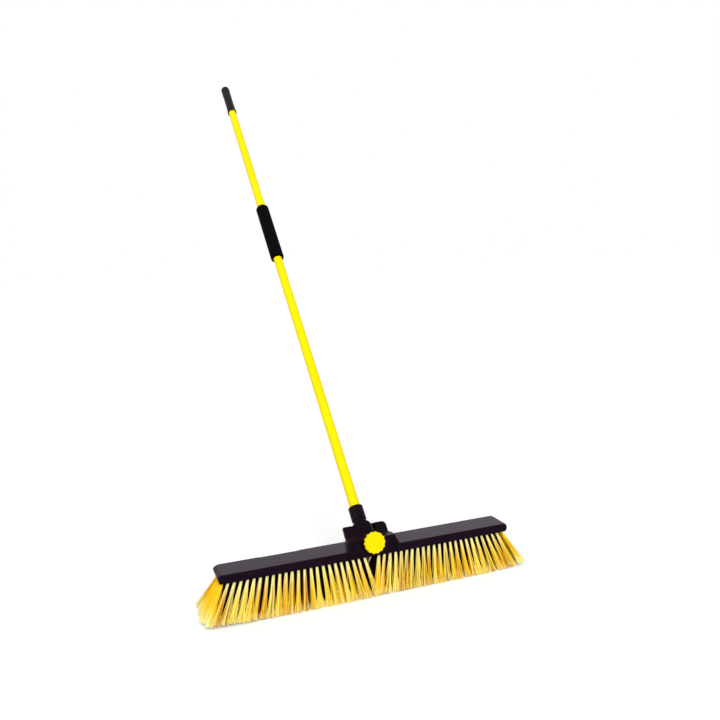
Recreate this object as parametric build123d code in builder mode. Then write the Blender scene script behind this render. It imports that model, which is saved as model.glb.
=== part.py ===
"""Wide floor broom: a block of bristles, a tilting bracket locked by a hand knob, and a tube handle.

Frame: X runs along the block, Y towards the back, where the handle leans, and Z up.
The origin is on the floor, under the middle of the block. Sizes are in millimetres and degrees.
"""

import os
from math import cos, radians, sin, tan

from build123d import *

os.makedirs("parts", exist_ok=True)

# Block
block_length = 614.0  # at its underside
block_end_slope = 5.0  # each end leans in by this, at the top
block_width = 56.0
block_height = 17.0
block_corner = 9.0  # radius of its upright corners
block_edge = 1.2  # rounding of its top edges
notch_length = 80.0  # rebate along the back edge
notch_depth = 2.0
notch_width = 3.0
notch_middle = -176.0

# Bristles: rows of tufts, each tuft of two strands that part towards the floor
bristle_trim = 75.0  # from the block's underside to the floor
row_margin = 4.0  # from the block's side to the nearest strip
row_names = ("front_outer", "front_inner", "back_inner", "back_outer")
row_spread = 1.95  # a row's place at the floor over its place at the block
tufts_in_outer_row = 24  # an inner row gives its last tuft to the border at the block's end
first_tuft = 16.5  # from the middle of the block
tuft_margin = 9.0  # from the last tuft to the block's end
lean_in = -10.0  # how far the first tuft's tip leans past its root
lean_out = 35.0  # and the last tuft's
strand_root = (2.4, 5.2)  # a strand's size along X and Y, at the block
strand_tip = (3.4, 12.0)  # and at the floor
strand_parting = (3.0, 6.6)  # between the middles of a tuft's two strands, at the block and the floor
strip_width = 9.0  # slice of backing that carries a row
strip_height = 3.0
strip_end = 3.8  # past the root of the last tuft
strand_sink = 0.4  # depth of a strand's root in its strip
strip_clearance = 0.1

# Bracket
pivot_inset = 12.0  # hinge axis, inside the block's back face
pivot_rise = 8.0  # and above its top face
pin_radius = 4.0
knuckle_radius = 7.5
knuckle_length = 41.0
washer_thick = 1.0
washer_radius = 7.0
side_play = 0.15  # on each side of each pivot washer
lug_half = 38.0  # half the width across the bearing lugs
lug_inset = 2.0  # back of the lugs, inside the block's back face
lug_round = 8.0
ledge_rise = 18.0  # ledge, above the block's top
apron_thick = 3.3  # front apron
face_lean = 28.0  # lean of the front face above it, from upright
apron_drop = 12.0  # reach of both aprons below the block's top
apron_clearance = 0.3
ledge_half = 50.5
foot_left = 53.5  # reach of the front apron's foot, to each side of the middle
foot_right = 63.0
housing_back = 1.5
housing_back_half = 44.5  # its sides draw in towards the back
housing_flank = 2.5  # and would be this far outside its foot at the front
cheek_half = 46.0
cheek_height = 23.0  # up its slope, above the ledge
cheek_root = 5.0
cheek_thick = 6.0
cheek_lean = 43.0
cheek_corner_left = 2.0
cheek_corner_right = 9.0
wall_thick = 5.0  # of the side walls behind the cheeks
wall_back = 38.5
wall_rise = 26.0  # of their back corner, above the block's top
wall_sink = 0.8  # of their front corner, below the cheek's top
rear_apron_half = 33.0
rear_apron_thick = 3.5
bridge_rise = 4.0
bridge_gap = 1.2  # behind the knuckle
mould_edge = 1.2
running_clearance = 0.05
press_clearance = 0.02
slide_clearance = 0.15
knuckle_gap = 0.6  # in front of the knuckle
slot_open = 16.0  # forward lean of the slot's front wall, above the hinge axis
retainer_radius = 7.0
retainer_thick = 1.6
retainer_gap = 0.1
pin_overhang = 0.8

# Knob and lock
knob_rise = 7.0  # upward tilt of the knob's axis
seat_rise = 1.9  # seat of its washer, in front of the apron
knob_gap = 2.0  # from that seat to the knob's back
knob_thick = 8.5
knob_body = 20.1
knob_lobes = 14
knob_lobe_radius = 3.4
knob_tip = 21.5
knob_hub = 9.5
knob_edge = 1.2
knob_washer_radius = 9.0
knob_washer_thick = 1.1
seat_radius = 11.0
seat_depth = 12.0  # length of the seat's boss, from inside the front face
stud_radius = 4.0
stud_head_across = 13.0
stud_head_thick = 4.5
stud_head_sink = 0.8  # inside the knob's back
shoe_radius = 4.0
shoe_length = 5.0
shoe_gap = 0.3
insert_radius = 6.0
insert_length = 15.0
insert_sink = 6.5  # outer end, inside the washer's seat

# Handle
handle_angle = 45.0  # above the floor
socket_reach = 66.3  # socket's mouth, from the hinge axis
socket_wall = 4.5
socket_cup = 30.0  # length of its round part
socket_bore_depth = 36.0
socket_edge = 1.5
neck_thick = 8.4  # across its flats at the knuckle
neck_wall = 2.24  # beside the end of the bore
neck_inset = 0.8  # of its sides, inside the knuckle's ends
neck_shoulder = 25.5  # end of its full width, from the hinge axis
neck_waist = 32.0  # start of its narrow part
neck_end_wall = 2.3  # round the tube, where it meets the cup
tube_radius = 11.1
tube_wall = 1.0
tube_length = 1524.0
tube_clearance = 0.05
tube_end_gap = 0.3
grip_start = 732.0  # past the socket's mouth
grip_length = 198.0
grip_wall = 5.2
grip_edge = 5.0
cap_cover = 116.0  # length of tube inside the cap
cap_mouth_wall = 2.8
cap_lip = 5.0
cap_wall = 1.7
cap_waist_wall = 1.2
cap_bulb_wall = 1.9
cap_edge = 1.0
cap_waist_place = 42.0  # before the end of the tube
cap_tip = 16.6  # domed end, past the tube

# Fasteners
screw_radius = 2.0
screw_head_radius = 3.5
screw_head_thick = 2.4
screw_clearance = 0.2
rear_screw_half = 26.0
rear_screw_drop = 7.0
rear_screw_reach = 15.0
under_screw_half = 8.2
under_screw_inset = 12.0  # from the block's front face
under_screw_reach = 8.0  # into the bracket
under_head_depth = 5.0  # counterbore in the block's underside
handle_screw_place = 50.0  # along the handle, from the hinge axis
handle_screw_sink = 0.6  # flat for its head, below the cup's surface
handle_screw_reach = 5.5
screw_head_edge = 0.9
screw_end_gap = 0.5

# Places worked out from the sizes above
block_bottom = bristle_trim
block_top = bristle_trim + block_height
half_width = block_width / 2
last_tuft = block_length / 2 - tuft_margin
outer_row = half_width - row_margin - strip_width / 2
row_places = (-outer_row, -outer_row / 3, outer_row / 3, outer_row)
pivot_back = half_width - pivot_inset
pivot_height = block_top + pivot_rise
lug_back = half_width - lug_inset
ledge_height = block_top + ledge_rise
apron_low = block_top - apron_drop
apron_inside = half_width + apron_clearance
face_foot = apron_inside + apron_thick
slot_half = knuckle_length / 2 + washer_thick + 2 * side_play
slot_front = pivot_back - knuckle_radius - knuckle_gap
slot_top = block_top + 2 * ledge_rise
bridge_front = pivot_back + knuckle_radius + bridge_gap
socket_bore = tube_radius + tube_clearance
socket_bore_end = socket_reach - socket_bore_depth
socket_radius = tube_radius + socket_wall
neck_length = socket_reach - socket_cup
neck_end_radius = tube_radius + neck_end_wall
neck_half = knuckle_length / 2 - neck_inset
neck_slope = (socket_bore + neck_wall - neck_thick / 2) / socket_bore_end
neck_end_half = neck_thick / 2 + neck_slope * neck_length
tube_start = socket_bore_end + tube_end_gap
tube_end = tube_start + tube_length
cap_start = tube_end - cap_cover
cap_end = tube_end + cap_tip
cap_mouth_radius = tube_radius + cap_mouth_wall
cap_radius = tube_radius + cap_wall
cap_waist_radius = tube_radius + cap_waist_wall
cap_bulb_radius = tube_radius + cap_bulb_wall
grip_radius = tube_radius + grip_wall
rear_screw_height = block_top - rear_screw_drop
rear_apron_back = apron_inside + rear_apron_thick
knob_seat = pivot_back + face_foot + seat_rise
knob_back = knob_seat + knob_gap
knob_face = knob_back + knob_thick
stud_head_place = knob_back + stud_head_sink
insert_outer = knob_seat - insert_sink
insert_inner = insert_outer - insert_length
under_screw_front = half_width - under_screw_inset
shoe_front = knuckle_radius + shoe_gap
shoe_back = shoe_front + shoe_length

pivot_point = (0, pivot_back, pivot_height)
handle_plane = Plane(
    origin=pivot_point, x_dir=(1, 0, 0), z_dir=(0, cos(radians(handle_angle)), sin(radians(handle_angle)))
)
knob_plane = Plane(
    origin=pivot_point, x_dir=(1, 0, 0), z_dir=(0, -cos(radians(knob_rise)), sin(radians(knob_rise)))
)
cheek_plane = Plane(
    origin=(0, 0, ledge_height),
    x_dir=(1, 0, 0),
    z_dir=(0, -cos(radians(cheek_lean)), sin(radians(cheek_lean))),
)
handle_profile = Plane(
    origin=pivot_point, x_dir=(0, sin(radians(handle_angle)), -cos(radians(handle_angle))), z_dir=(1, 0, 0)
)
handle_axis = Axis(pivot_point, handle_plane.z_dir)
handle_screw_seat = Plane(
    origin=handle_plane.from_local_coords((0, socket_radius - handle_screw_sink, handle_screw_place)),
    x_dir=(1, 0, 0),
    z_dir=handle_plane.y_dir,
)


def front_face(height):
    """Place of the bracket's front face, along Y, at a height above the block's top."""
    return -face_foot + height * tan(radians(face_lean))


def save(builder, label):
    builder.part.label = label
    export_step(builder.part, f"parts/{label}.step")


# Block: flat topped with leaning ends, grooves for the bristle strips and holes for the bracket's screws
tuft_pitch = (last_tuft - first_tuft) / (tufts_in_outer_row - 1)
outer_places = [first_tuft + i * tuft_pitch for i in range(tufts_in_outer_row)]
between_places = [place + tuft_pitch / 2 for place in outer_places[:-2]]
row_tufts = (outer_places, outer_places[:-1], between_places, outer_places)
border_width = row_places[2] - row_places[1] + strip_width


def strip_of(places):
    """Middle and length of the strip that carries a half row of tufts."""
    return (places[0] + places[-1]) / 2, places[-1] - places[0] + 2 * strip_end


with BuildPart() as broom_block:
    with BuildSketch(Plane.XY.offset(block_bottom)):
        RectangleRounded(block_length, block_width, block_corner)
    with BuildSketch(Plane.XY.offset(block_top)):
        RectangleRounded(block_length - 2 * block_end_slope, block_width, block_corner)
    loft(ruled=True)
    fillet(broom_block.faces().sort_by(Axis.Z)[-1].edges(), block_edge)
    with BuildSketch(Plane.XY.offset(block_bottom)):
        for row, places in zip(row_places, row_tufts):
            strip_middle, strip_length = strip_of(places)
            with Locations((-strip_middle, row), (strip_middle, row)):
                Rectangle(strip_length + 2 * strip_clearance, strip_width + 2 * strip_clearance)
        with Locations((-last_tuft, 0), (last_tuft, 0)):
            Rectangle(2 * strip_end + 2 * strip_clearance, border_width + 2 * strip_clearance)
    extrude(amount=strip_height, mode=Mode.SUBTRACT)
    with Locations((notch_middle, half_width, block_top)):
        Box(notch_length, 2 * notch_width, 2 * notch_depth, mode=Mode.SUBTRACT)
    with BuildSketch(Plane.XY.offset(block_bottom)):
        with Locations((-under_screw_half, -under_screw_front), (under_screw_half, -under_screw_front)):
            Circle(screw_head_radius + screw_clearance)
    extrude(amount=under_head_depth, mode=Mode.SUBTRACT)
    with BuildSketch(Plane.XY.offset(block_bottom)):
        with Locations((-under_screw_half, -under_screw_front), (under_screw_half, -under_screw_front)):
            Circle(screw_radius + screw_clearance)
    extrude(amount=block_height, mode=Mode.SUBTRACT)
    with BuildSketch(Plane.XZ.offset(-half_width)):
        with Locations((-rear_screw_half, rear_screw_height), (rear_screw_half, rear_screw_height)):
            Circle(screw_radius + press_clearance)
    extrude(amount=rear_screw_reach, mode=Mode.SUBTRACT)
save(broom_block, "broom_block")


# Bristles: each half row is one strip with its strands, cut flat at the floor, and a border closes each end
root_height = block_bottom + strand_sink


def strand(root_at, tip_at):
    """One four-sided strand, from its flat tip on the floor up to its root in the strip."""
    root_across = root_at[0] - tip_at[0] + strand_tip[0] / 2
    root_along = tip_at[1] - root_at[1] + strand_tip[1] / 2
    wedge = Wedge(
        strand_tip[0],
        root_height,
        strand_tip[1],
        root_across - strand_root[0] / 2,
        root_along - strand_root[1] / 2,
        root_across + strand_root[0] / 2,
        root_along + strand_root[1] / 2,
        align=None,
    )
    return Pos(tip_at[0] - strand_tip[0] / 2, tip_at[1] + strand_tip[1] / 2, 0) * Rot(90, 0, 0) * wedge


def strands_of(row, places, side):
    strands = []
    for place in places:
        share = (place - first_tuft) / (last_tuft - first_tuft)
        tip = place + lean_in + (lean_out - lean_in) * share
        for half in (-1, 1):
            root_at = (side * place + half * strand_parting[0] / 2, row)
            tip_at = (side * tip + half * strand_parting[1] / 2, row * row_spread)
            strands.append(strand(root_at, tip_at))
    return strands


def bristle_strip(middle, length, width, strands):
    with BuildPart() as bristles:
        with BuildSketch(Plane.XY.offset(block_bottom)):
            with Locations(middle):
                Rectangle(length, width)
        extrude(amount=strip_height)
        add(strands)
    return bristles


for side, side_name in ((-1, "left"), (1, "right")):
    for row, row_name, places in zip(row_places, row_names, row_tufts):
        strip_middle, strip_length = strip_of(places)
        row_strands = strands_of(row, places, side)
        half_row = bristle_strip((side * strip_middle, row), strip_length, strip_width, row_strands)
        save(half_row, f"{row_name}_bristles_{side_name}")
    border_strands = []
    for row in row_places[1:3]:
        border_strands += strands_of(row, [last_tuft], side)
    border = bristle_strip((side * last_tuft, 0), 2 * strip_end, border_width, border_strands)
    save(border, f"end_bristles_{side_name}")


# Bracket base: front housing with its apron, bearing lugs, rear apron and the two leaning cheeks
with BuildPart() as bracket_base:
    with BuildSketch(Plane.YZ):
        with BuildLine():
            Polyline(
                (-apron_inside, block_top),
                (-apron_inside, apron_low),
                (-face_foot, apron_low),
                (-face_foot, block_top),
                (front_face(ledge_rise), ledge_height),
                (housing_back, ledge_height),
                (housing_back, block_top),
                close=True,
            )
        make_face()
    extrude(amount=block_width + foot_right, both=True)
    with BuildSketch(Plane.XZ):
        with BuildLine():
            Polyline(
                (-foot_left, apron_low),
                (foot_right, apron_low),
                (ledge_half, ledge_height),
                (-ledge_half, ledge_height),
                close=True,
            )
        make_face()
    extrude(amount=block_width, both=True, mode=Mode.INTERSECT)
    with BuildSketch(Plane.XY.offset(apron_low)):
        with BuildLine():
            Polyline(
                (-foot_left - housing_flank, -face_foot),
                (foot_right + housing_flank, -face_foot),
                (housing_back_half, housing_back),
                (-housing_back_half, housing_back),
                close=True,
            )
        make_face()
    extrude(amount=apron_drop + ledge_rise, mode=Mode.INTERSECT)
    housing_front = bracket_base.faces().filter_by(lambda face: face.normal_at().Y < -0.8)
    fillet(housing_front.edges(), mould_edge)
    with BuildSketch(Plane.YZ) as lug_profile:
        with BuildLine():
            Polyline(
                (0, block_top), (0, ledge_height), (lug_back, ledge_height), (lug_back, block_top), close=True
            )
        make_face()
        fillet(lug_profile.vertices().group_by(Axis.Y)[-1].sort_by(Axis.X)[-1], lug_round)
    extrude(amount=lug_half, both=True)
    with BuildSketch(Plane.YZ):
        with BuildLine():
            Polyline(
                (lug_back - mould_edge, block_top),
                (lug_back - mould_edge, block_top + bridge_rise),
                (rear_apron_back, block_top + bridge_rise),
                (rear_apron_back, apron_low),
                (apron_inside, apron_low),
                (apron_inside, block_top),
                close=True,
            )
        make_face()
    extrude(amount=rear_apron_half, both=True)
    for side, corner in ((-1, cheek_corner_left), (1, cheek_corner_right)):
        with BuildSketch(cheek_plane) as cheek:
            with Locations((side * (cheek_half + slot_half) / 2, (cheek_height - cheek_root) / 2)):
                Rectangle(cheek_half - slot_half, cheek_height + cheek_root)
            top_corners = cheek.vertices().group_by(Axis.Y)[-1].sort_by(Axis.X)
            fillet(top_corners[-1] if side > 0 else top_corners[0], corner)
        extrude(amount=-cheek_thick)
        wall_front = cheek_plane.from_local_coords((0, cheek_height - wall_sink, -cheek_thick / 2))
        with BuildSketch(Plane.YZ.offset(side * (slot_half + wall_thick / 2))):
            with BuildLine():
                Polyline(
                    (0, block_top + bridge_rise),
                    (0, ledge_height - mould_edge),
                    (wall_front.Y, wall_front.Z),
                    (wall_back, block_top + wall_rise),
                    (lug_back - lug_round, block_top + bridge_rise),
                    close=True,
                )
            make_face()
        extrude(amount=wall_thick / 2, both=True)
    with BuildSketch(Plane.YZ):
        with BuildLine():
            Polyline(
                (slot_front, block_top),
                (bridge_front, block_top),
                (bridge_front, block_top + bridge_rise),
                (2 * lug_back, block_top + bridge_rise),
                (2 * lug_back, slot_top),
                (slot_front - (slot_top - pivot_height) * tan(radians(slot_open)), slot_top),
                (slot_front, pivot_height),
                close=True,
            )
        make_face()
    extrude(amount=slot_half, both=True, mode=Mode.SUBTRACT)
    with BuildSketch(Plane.YZ):
        with Locations((pivot_back, pivot_height)):
            Circle(pin_radius + press_clearance)
    extrude(amount=block_width, both=True, mode=Mode.SUBTRACT)
    with BuildSketch(knob_plane.offset(knob_seat - seat_depth)):
        Circle(seat_radius)
    extrude(amount=seat_depth)
    with BuildSketch(knob_plane):
        Circle(shoe_radius + slide_clearance)
    extrude(amount=insert_inner, mode=Mode.SUBTRACT)
    with BuildSketch(knob_plane.offset(insert_inner)):
        Circle(insert_radius + press_clearance)
    extrude(amount=insert_length, mode=Mode.SUBTRACT)
    with BuildSketch(knob_plane.offset(insert_outer)):
        Circle(stud_radius + slide_clearance)
    extrude(amount=knob_seat, mode=Mode.SUBTRACT)
    with BuildSketch(Plane.XY.offset(block_top)):
        with Locations((-under_screw_half, -under_screw_front), (under_screw_half, -under_screw_front)):
            Circle(screw_radius + press_clearance)
    extrude(amount=under_screw_reach, mode=Mode.SUBTRACT)
    with BuildSketch(Plane.XZ.offset(-rear_apron_back)):
        with Locations((-rear_screw_half, rear_screw_height), (rear_screw_half, rear_screw_height)):
            Circle(screw_radius + screw_clearance)
    extrude(amount=rear_apron_thick, mode=Mode.SUBTRACT)
save(bracket_base, "bracket_base")


# Hinge: pin, retainers and washers
with BuildPart() as hinge_pin:
    with BuildSketch(Plane.YZ):
        with Locations((pivot_back, pivot_height)):
            Circle(pin_radius)
    extrude(amount=lug_half + retainer_gap + retainer_thick + pin_overhang, both=True)
    chamfer(hinge_pin.edges().filter_by(GeomType.CIRCLE), pin_overhang / 2)
save(hinge_pin, "hinge_pin")


def ring_pair(inner_radius, outer_radius, start, thick):
    """Two like rings round the hinge axis, one each side of the middle."""
    with BuildPart() as pair:
        for near in (start, -start - thick):
            with BuildSketch(Plane.YZ.offset(near)):
                with Locations((pivot_back, pivot_height)):
                    Circle(outer_radius)
                    Circle(inner_radius, mode=Mode.SUBTRACT)
            extrude(amount=thick)
    return pair


save(
    ring_pair(pin_radius + press_clearance, retainer_radius, lug_half + retainer_gap, retainer_thick),
    "pin_retainers",
)
save(
    ring_pair(pin_radius + running_clearance, washer_radius, knuckle_length / 2 + side_play, washer_thick),
    "pivot_washers",
)


# Lock: brass insert, shoe, stud, washer and knob, all on the knob's axis
with BuildPart() as thread_insert:
    with BuildSketch(knob_plane.offset(insert_inner)):
        Circle(insert_radius)
        Circle(stud_radius + running_clearance, mode=Mode.SUBTRACT)
    extrude(amount=insert_length)
save(thread_insert, "thread_insert")

with BuildPart() as lock_shoe:
    with BuildSketch(knob_plane.offset(shoe_front - knuckle_radius / 2)):
        Circle(shoe_radius)
    extrude(amount=shoe_back - shoe_front + knuckle_radius / 2)
    with BuildSketch(Plane.YZ):
        with Locations((pivot_back, pivot_height)):
            Circle(shoe_front)
    extrude(amount=knuckle_length, both=True, mode=Mode.SUBTRACT)
save(lock_shoe, "lock_shoe")

with BuildPart() as knob_stud:
    with BuildSketch(knob_plane.offset(shoe_back)):
        Circle(stud_radius)
    extrude(amount=stud_head_place - shoe_back)
    chamfer(knob_stud.edges().filter_by(GeomType.CIRCLE).sort_by(Axis.Y)[-1], stud_radius / 4)
    with BuildSketch(knob_plane.offset(stud_head_place)):
        RegularPolygon(stud_head_across / 2, 6, major_radius=False)
    extrude(amount=stud_head_thick)
save(knob_stud, "knob_stud")

with BuildPart() as knob_washer:
    with BuildSketch(knob_plane.offset(knob_seat)):
        Circle(knob_washer_radius)
        Circle(stud_radius + slide_clearance, mode=Mode.SUBTRACT)
    extrude(amount=knob_washer_thick)
save(knob_washer, "knob_washer")

with BuildPart() as lock_knob:
    with BuildSketch(knob_plane.offset(knob_back)):
        Circle(knob_body)
        with PolarLocations(knob_tip - knob_lobe_radius, knob_lobes):
            Circle(knob_lobe_radius)
    extrude(amount=knob_face - knob_back)
    chamfer(lock_knob.faces().sort_by(Axis.Y)[0].outer_wire().edges(), knob_edge)
    with BuildSketch(knob_plane.offset(knob_seat + knob_washer_thick)):
        Circle(knob_hub)
    extrude(amount=knob_back - knob_seat - knob_washer_thick)
    with BuildSketch(knob_plane.offset(knob_seat)):
        Circle(stud_radius + press_clearance)
    extrude(amount=stud_head_place - knob_seat, mode=Mode.SUBTRACT)
    with BuildSketch(knob_plane.offset(stud_head_place)):
        RegularPolygon(stud_head_across / 2 + press_clearance, 6, major_radius=False)
    extrude(amount=stud_head_thick + press_clearance, mode=Mode.SUBTRACT)
save(lock_knob, "lock_knob")


# Handle socket: a knuckle on the hinge pin, a flattened and shouldered neck, and the cup for the tube
with BuildPart() as handle_socket:
    with BuildSketch(handle_profile):
        with BuildLine():
            Polyline(
                (0, 0),
                (neck_half, 0),
                (neck_half, neck_shoulder),
                (neck_end_radius, neck_waist),
                (neck_end_radius, neck_length),
                (0, neck_length),
                close=True,
            )
        make_face()
    revolve(axis=handle_axis)
    with BuildSketch(handle_profile):
        with BuildLine():
            Polyline(
                (-neck_thick / 2, 0),
                (neck_thick / 2, 0),
                (neck_end_half, neck_length),
                (-neck_end_half, neck_length),
                close=True,
            )
        make_face()
    extrude(amount=knuckle_length, both=True, mode=Mode.INTERSECT)
    with BuildSketch(handle_plane.offset(socket_reach - socket_cup)):
        Circle(socket_radius)
    extrude(amount=socket_cup)
    fillet(handle_socket.faces().sort_by(handle_axis)[-1].edges(), socket_edge)
    with BuildSketch(Plane.YZ):
        with Locations((pivot_back, pivot_height)):
            Circle(knuckle_radius)
    extrude(amount=knuckle_length / 2, both=True)
    with BuildSketch(handle_plane.offset(socket_bore_end)):
        Circle(socket_bore)
    extrude(amount=socket_bore_depth, mode=Mode.SUBTRACT)
    with BuildSketch(Plane.YZ):
        with Locations((pivot_back, pivot_height)):
            Circle(pin_radius + running_clearance)
    extrude(amount=knuckle_length, both=True, mode=Mode.SUBTRACT)
    with BuildSketch(handle_screw_seat):
        Circle(screw_head_radius + screw_clearance)
    extrude(amount=socket_radius, mode=Mode.SUBTRACT)
    with BuildSketch(handle_screw_seat):
        Circle(screw_radius + press_clearance)
    extrude(amount=-socket_radius / 2, mode=Mode.SUBTRACT)
save(handle_socket, "handle_socket")


# Handle: tube, foam grip and the domed end cap
with BuildPart() as handle_tube:
    with BuildSketch(handle_plane.offset(tube_start)):
        Circle(tube_radius)
        Circle(tube_radius - tube_wall, mode=Mode.SUBTRACT)
    extrude(amount=tube_length)
    with BuildSketch(handle_screw_seat):
        Circle(screw_radius + screw_clearance)
    extrude(amount=-socket_radius / 2, mode=Mode.SUBTRACT)
save(handle_tube, "handle_tube")

with BuildPart() as foam_grip:
    with BuildSketch(handle_plane.offset(socket_reach + grip_start)):
        Circle(grip_radius)
    extrude(amount=grip_length)
    fillet(foam_grip.edges().filter_by(GeomType.CIRCLE), grip_edge)
    with BuildSketch(handle_plane.offset(socket_reach + grip_start)):
        Circle(tube_radius + tube_clearance)
    extrude(amount=grip_length, mode=Mode.SUBTRACT)
save(foam_grip, "foam_grip")

with BuildPart() as end_cap:
    with BuildSketch(handle_profile):
        with BuildLine():
            Polyline(
                (0, cap_end),
                (0, tube_end + tube_end_gap),
                (tube_radius + tube_clearance, tube_end + tube_end_gap),
                (tube_radius + tube_clearance, cap_start),
                (cap_mouth_radius - cap_edge, cap_start),
                (cap_mouth_radius, cap_start + cap_edge),
                (cap_mouth_radius, cap_start + cap_lip),
                (cap_radius, cap_start + cap_lip + cap_edge),
            )
            ThreePointArc(
                (cap_radius, cap_start + cap_lip + cap_edge),
                (cap_waist_radius, tube_end - cap_waist_place),
                (cap_bulb_radius, cap_end - cap_bulb_radius),
            )
            RadiusArc((cap_bulb_radius, cap_end - cap_bulb_radius), (0, cap_end), -cap_bulb_radius)
        make_face()
    revolve(axis=handle_axis)
save(end_cap, "end_cap")


# Screws
def screw_set(seat_plane, places, reach):
    """Like screws with their heads standing on a seat plane and their shanks running back from it."""
    with BuildPart() as screws:
        with BuildSketch(seat_plane):
            with Locations(*places):
                Circle(screw_head_radius)
        extrude(amount=screw_head_thick)
        chamfer(screws.edges().group_by(Axis(seat_plane.origin, seat_plane.z_dir))[-1], screw_head_edge)
        with BuildSketch(seat_plane):
            with Locations(*places):
                Circle(screw_radius)
        extrude(amount=-reach)
    return screws


rear_screw_seat = Plane(origin=(0, rear_apron_back, rear_screw_height), x_dir=(-1, 0, 0), z_dir=(0, 1, 0))
under_screw_seat = Plane(
    origin=(0, -under_screw_front, block_bottom + under_head_depth), x_dir=(1, 0, 0), z_dir=(0, 0, -1)
)
rear_places = ((-rear_screw_half, 0), (rear_screw_half, 0))
under_places = ((-under_screw_half, 0), (under_screw_half, 0))
rear_shank = rear_apron_thick + apron_clearance + rear_screw_reach - screw_end_gap
under_shank = block_height - under_head_depth + under_screw_reach - screw_end_gap

save(screw_set(rear_screw_seat, rear_places, rear_shank), "rear_screws")
save(screw_set(under_screw_seat, under_places, under_shank), "under_screws")
save(screw_set(handle_screw_seat, ((0, 0),), handle_screw_reach), "handle_screw")
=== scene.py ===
import math

import bmesh
import bpy
from mathutils import Matrix, Vector, noise as wobble


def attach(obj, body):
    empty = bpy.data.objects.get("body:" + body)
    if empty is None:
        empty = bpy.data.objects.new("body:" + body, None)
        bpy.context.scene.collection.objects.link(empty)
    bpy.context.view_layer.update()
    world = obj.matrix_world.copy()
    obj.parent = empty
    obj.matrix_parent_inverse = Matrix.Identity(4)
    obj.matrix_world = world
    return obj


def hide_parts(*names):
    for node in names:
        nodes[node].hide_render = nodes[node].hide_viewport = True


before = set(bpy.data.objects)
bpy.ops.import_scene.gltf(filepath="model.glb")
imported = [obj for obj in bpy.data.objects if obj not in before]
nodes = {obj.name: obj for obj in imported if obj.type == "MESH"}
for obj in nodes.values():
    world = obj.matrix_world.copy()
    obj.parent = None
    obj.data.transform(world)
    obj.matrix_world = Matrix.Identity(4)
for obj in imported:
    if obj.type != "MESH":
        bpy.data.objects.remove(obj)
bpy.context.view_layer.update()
pivot = Vector((0.0, 0.016, 0.100))  # hinge of the handle
handleWay = Vector((0.0, 1.0, 1.0)).normalized()  # up the handle
print("frame loaded:", len(nodes), "nodes")


# Node helpers
def feed(tree, socket, value):  # an output is linked, anything else is set
    if hasattr(value, "is_output"):
        tree.links.new(value, socket)
    else:
        socket.default_value = value


def wire(tree, node, inputs):
    for label, value in inputs.items():
        feed(tree, node.inputs[label], value)


def addNode(tree, kind, settings=None, **inputs):
    node = tree.nodes.new(kind)
    for key, value in (settings or {}).items():
        setattr(node, key, value)
    wire(tree, node, {key.replace("_", " "): value for key, value in inputs.items()})
    return node


def calc(tree, operation, *values):
    node = addNode(tree, "ShaderNodeMath", {"operation": operation})
    for socket, value in zip(node.inputs, values):
        feed(tree, socket, value)
    return node.outputs[0]


# Shader helpers
def newMaterial(name):
    mat = bpy.data.materials.new(name)
    mat.use_nodes = True
    tree = mat.node_tree
    return mat, tree, tree.nodes["Principled BSDF"]


def objectSpace(tree, stretch=(1, 1, 1)):
    coords = addNode(tree, "ShaderNodeTexCoord").outputs["Object"]
    return addNode(tree, "ShaderNodeMapping", Vector=coords, Scale=stretch).outputs["Vector"]


def noise(tree, vector, scale, detail=3.0, rough=0.55):
    node = addNode(tree, "ShaderNodeTexNoise", Vector=vector, Scale=scale, Detail=detail, Roughness=rough)
    return node.outputs["Fac"]


def ramp(tree, factor, stops):
    node = addNode(tree, "ShaderNodeValToRGB", Fac=factor)
    elements = node.color_ramp.elements
    while len(elements) < len(stops):
        elements.new(0.5)
    for element, (place, colour) in zip(elements, stops):
        element.position = place
        element.color = (*colour, 1.0)
    return node.outputs["Color"]


def twoTone(tree, factor, first, second, margin=0.3):  # first up to the margin, second from its mirror
    return ramp(tree, factor, [(margin, first), (1.0 - margin, second)])


def spread(tree, factor, low, high):
    return addNode(tree, "ShaderNodeMapRange", Value=factor, To_Min=low, To_Max=high).outputs["Result"]


def bump(tree, height, strength, depth, normal=None):
    node = addNode(tree, "ShaderNodeBump", Height=height, Strength=strength, Distance=depth)
    if normal is not None:
        feed(tree, node.inputs["Normal"], normal)
    return node.outputs["Normal"]


def mixed(tree, share, first, second):  # two colours blended by a share
    node = addNode(tree, "ShaderNodeMix", {"data_type": "RGBA"})
    for socket, value in zip((node.inputs[0], node.inputs[6], node.inputs[7]), (share, first, second)):
        feed(tree, socket, value)
    return node.outputs[2]


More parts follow.
